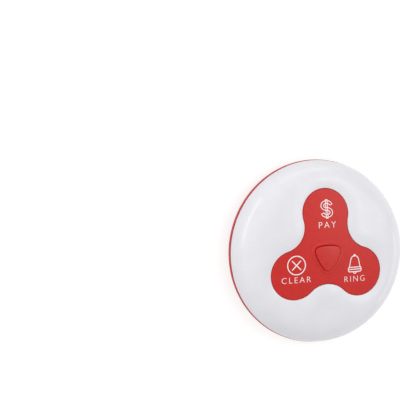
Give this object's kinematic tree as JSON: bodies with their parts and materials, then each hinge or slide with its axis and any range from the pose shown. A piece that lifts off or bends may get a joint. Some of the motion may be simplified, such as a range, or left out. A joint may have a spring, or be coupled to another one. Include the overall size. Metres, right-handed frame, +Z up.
{
  "type": "table call button",
  "caption": "Round low table call button with a domed cover, a three-lobed keypad round a small indicator window, and a screw-in battery door below.",
  "frame": {"origin": "on the table, under the middle of the round case", "axes": "+Z up out of the dome, +Y towards the key with the currency sign, +X to the right of it"},
  "size_m": [0.06, 0.06, 0.0155],
  "materials": {
    "white_abs": "polished moulded ABS",
    "red_abs": "satin moulded ABS",
    "door_abs": "fine spark texture",
    "red_silicone": "soft satin silicone",
    "red_lens": "translucent, smooth",
    "grey_rubber": "matt",
    "foot_foam": "fine-celled foam",
    "natural_abs": "natural moulding",
    "board_laminate": "glass laminate with solder mask",
    "black_nylon": "moulded nylon",
    "stem_plastic": "moulded nylon",
    "tinned_steel": "tin plate",
    "led_body": "clear epoxy in white housing",
    "chip_epoxy": "moulded epoxy",
    "chip_ceramic": "ceramic with tinned ends",
    "copper_wire": "enamelled copper",
    "cell_steel": "nickel-plated steel",
    "seal_rubber": "nitrile",
    "screw_steel": "zinc plated"
  },
  "bodies": {
    "case": {"top_cover": "white_abs", "base_shell": "red_abs", "cover_gasket": "grey_rubber", "foot_ring": "foot_foam", "keypad_membrane": "red_silicone", "indicator_lens": "red_lens", "keypad_frame": "natural_abs", "main_board": "board_laminate", "switch_bases": "black_nylon", "switch_covers": "tinned_steel", "switch_domes": "tinned_steel", "switch_pins": "tinned_steel", "indicator_led": "led_body", "encoder_chip": "chip_epoxy", "encoder_leads": "tinned_steel", "resonator_can": "tinned_steel", "transistor": "chip_epoxy", "chip_parts": "chip_ceramic", "loop_antenna": "copper_wire", "battery_holder": "black_nylon", "negative_spring": "tinned_steel", "positive_clip": "tinned_steel", "coin_cell": "cell_steel", "cover_screws": "screw_steel", "board_screws": "screw_steel"},
    "pay_key": {"pay_key": "red_silicone"},
    "clear_key": {"clear_key": "red_silicone"},
    "ring_key": {"ring_key": "red_silicone"},
    "pay_stem": {"pay_switch_stem": "stem_plastic"},
    "clear_stem": {"clear_switch_stem": "stem_plastic"},
    "ring_stem": {"ring_switch_stem": "stem_plastic"},
    "door_seal": {"door_seal": "seal_rubber"},
    "battery_door": {"battery_door": "door_abs"}
  },
  "joints": [
    {"name": "pay_press", "type": "hinge", "parent": "case", "child": "pay_key", "pos_m": [0, 0.0065, 0.0112], "axis": [-1, 0, 0], "range_deg": [0, 2.67], "stiffness_Nm_per_rad": 0.33},
    {"name": "pay_click", "type": "slide", "parent": "case", "child": "pay_stem", "axis": [0, 0, -1], "range_m": [0, 0.00035]},
    {"name": "clear_press", "type": "hinge", "parent": "case", "child": "clear_key", "pos_m": [-0.00563, -0.00325, 0.0112], "axis": [0.5, -0.866, 0], "range_deg": [0, 2.67], "stiffness_Nm_per_rad": 0.33},
    {"name": "clear_click", "type": "slide", "parent": "case", "child": "clear_stem", "axis": [0, 0, -1], "range_m": [0, 0.00035]},
    {"name": "ring_press", "type": "hinge", "parent": "case", "child": "ring_key", "pos_m": [0.00563, -0.00325, 0.0112], "axis": [0.5, 0.866, 0], "range_deg": [0, 2.67], "stiffness_Nm_per_rad": 0.33},
    {"name": "ring_click", "type": "slide", "parent": "case", "child": "ring_stem", "axis": [0, 0, -1], "range_m": [0, 0.00035]},
    {"name": "door_lift", "type": "slide", "parent": "case", "child": "door_seal", "axis": [0, 0, -1], "range_m": [0, 0.003]},
    {"name": "door_turn", "type": "hinge", "parent": "door_seal", "child": "battery_door", "pos_m": [0, 0, 0.0015], "axis": [0, 0, -1], "range_deg": [0, 720]}
  ],
  "couplings": [
    {"joint": "pay_click", "follows": "pay_press", "m_per_rad": 0.0075},
    {"joint": "clear_click", "follows": "clear_press", "m_per_rad": 0.0075},
    {"joint": "ring_click", "follows": "ring_press", "m_per_rad": 0.0075},
    {"joint": "door_lift", "follows": "door_turn", "m_per_rad": 0.00023873}
  ]
}
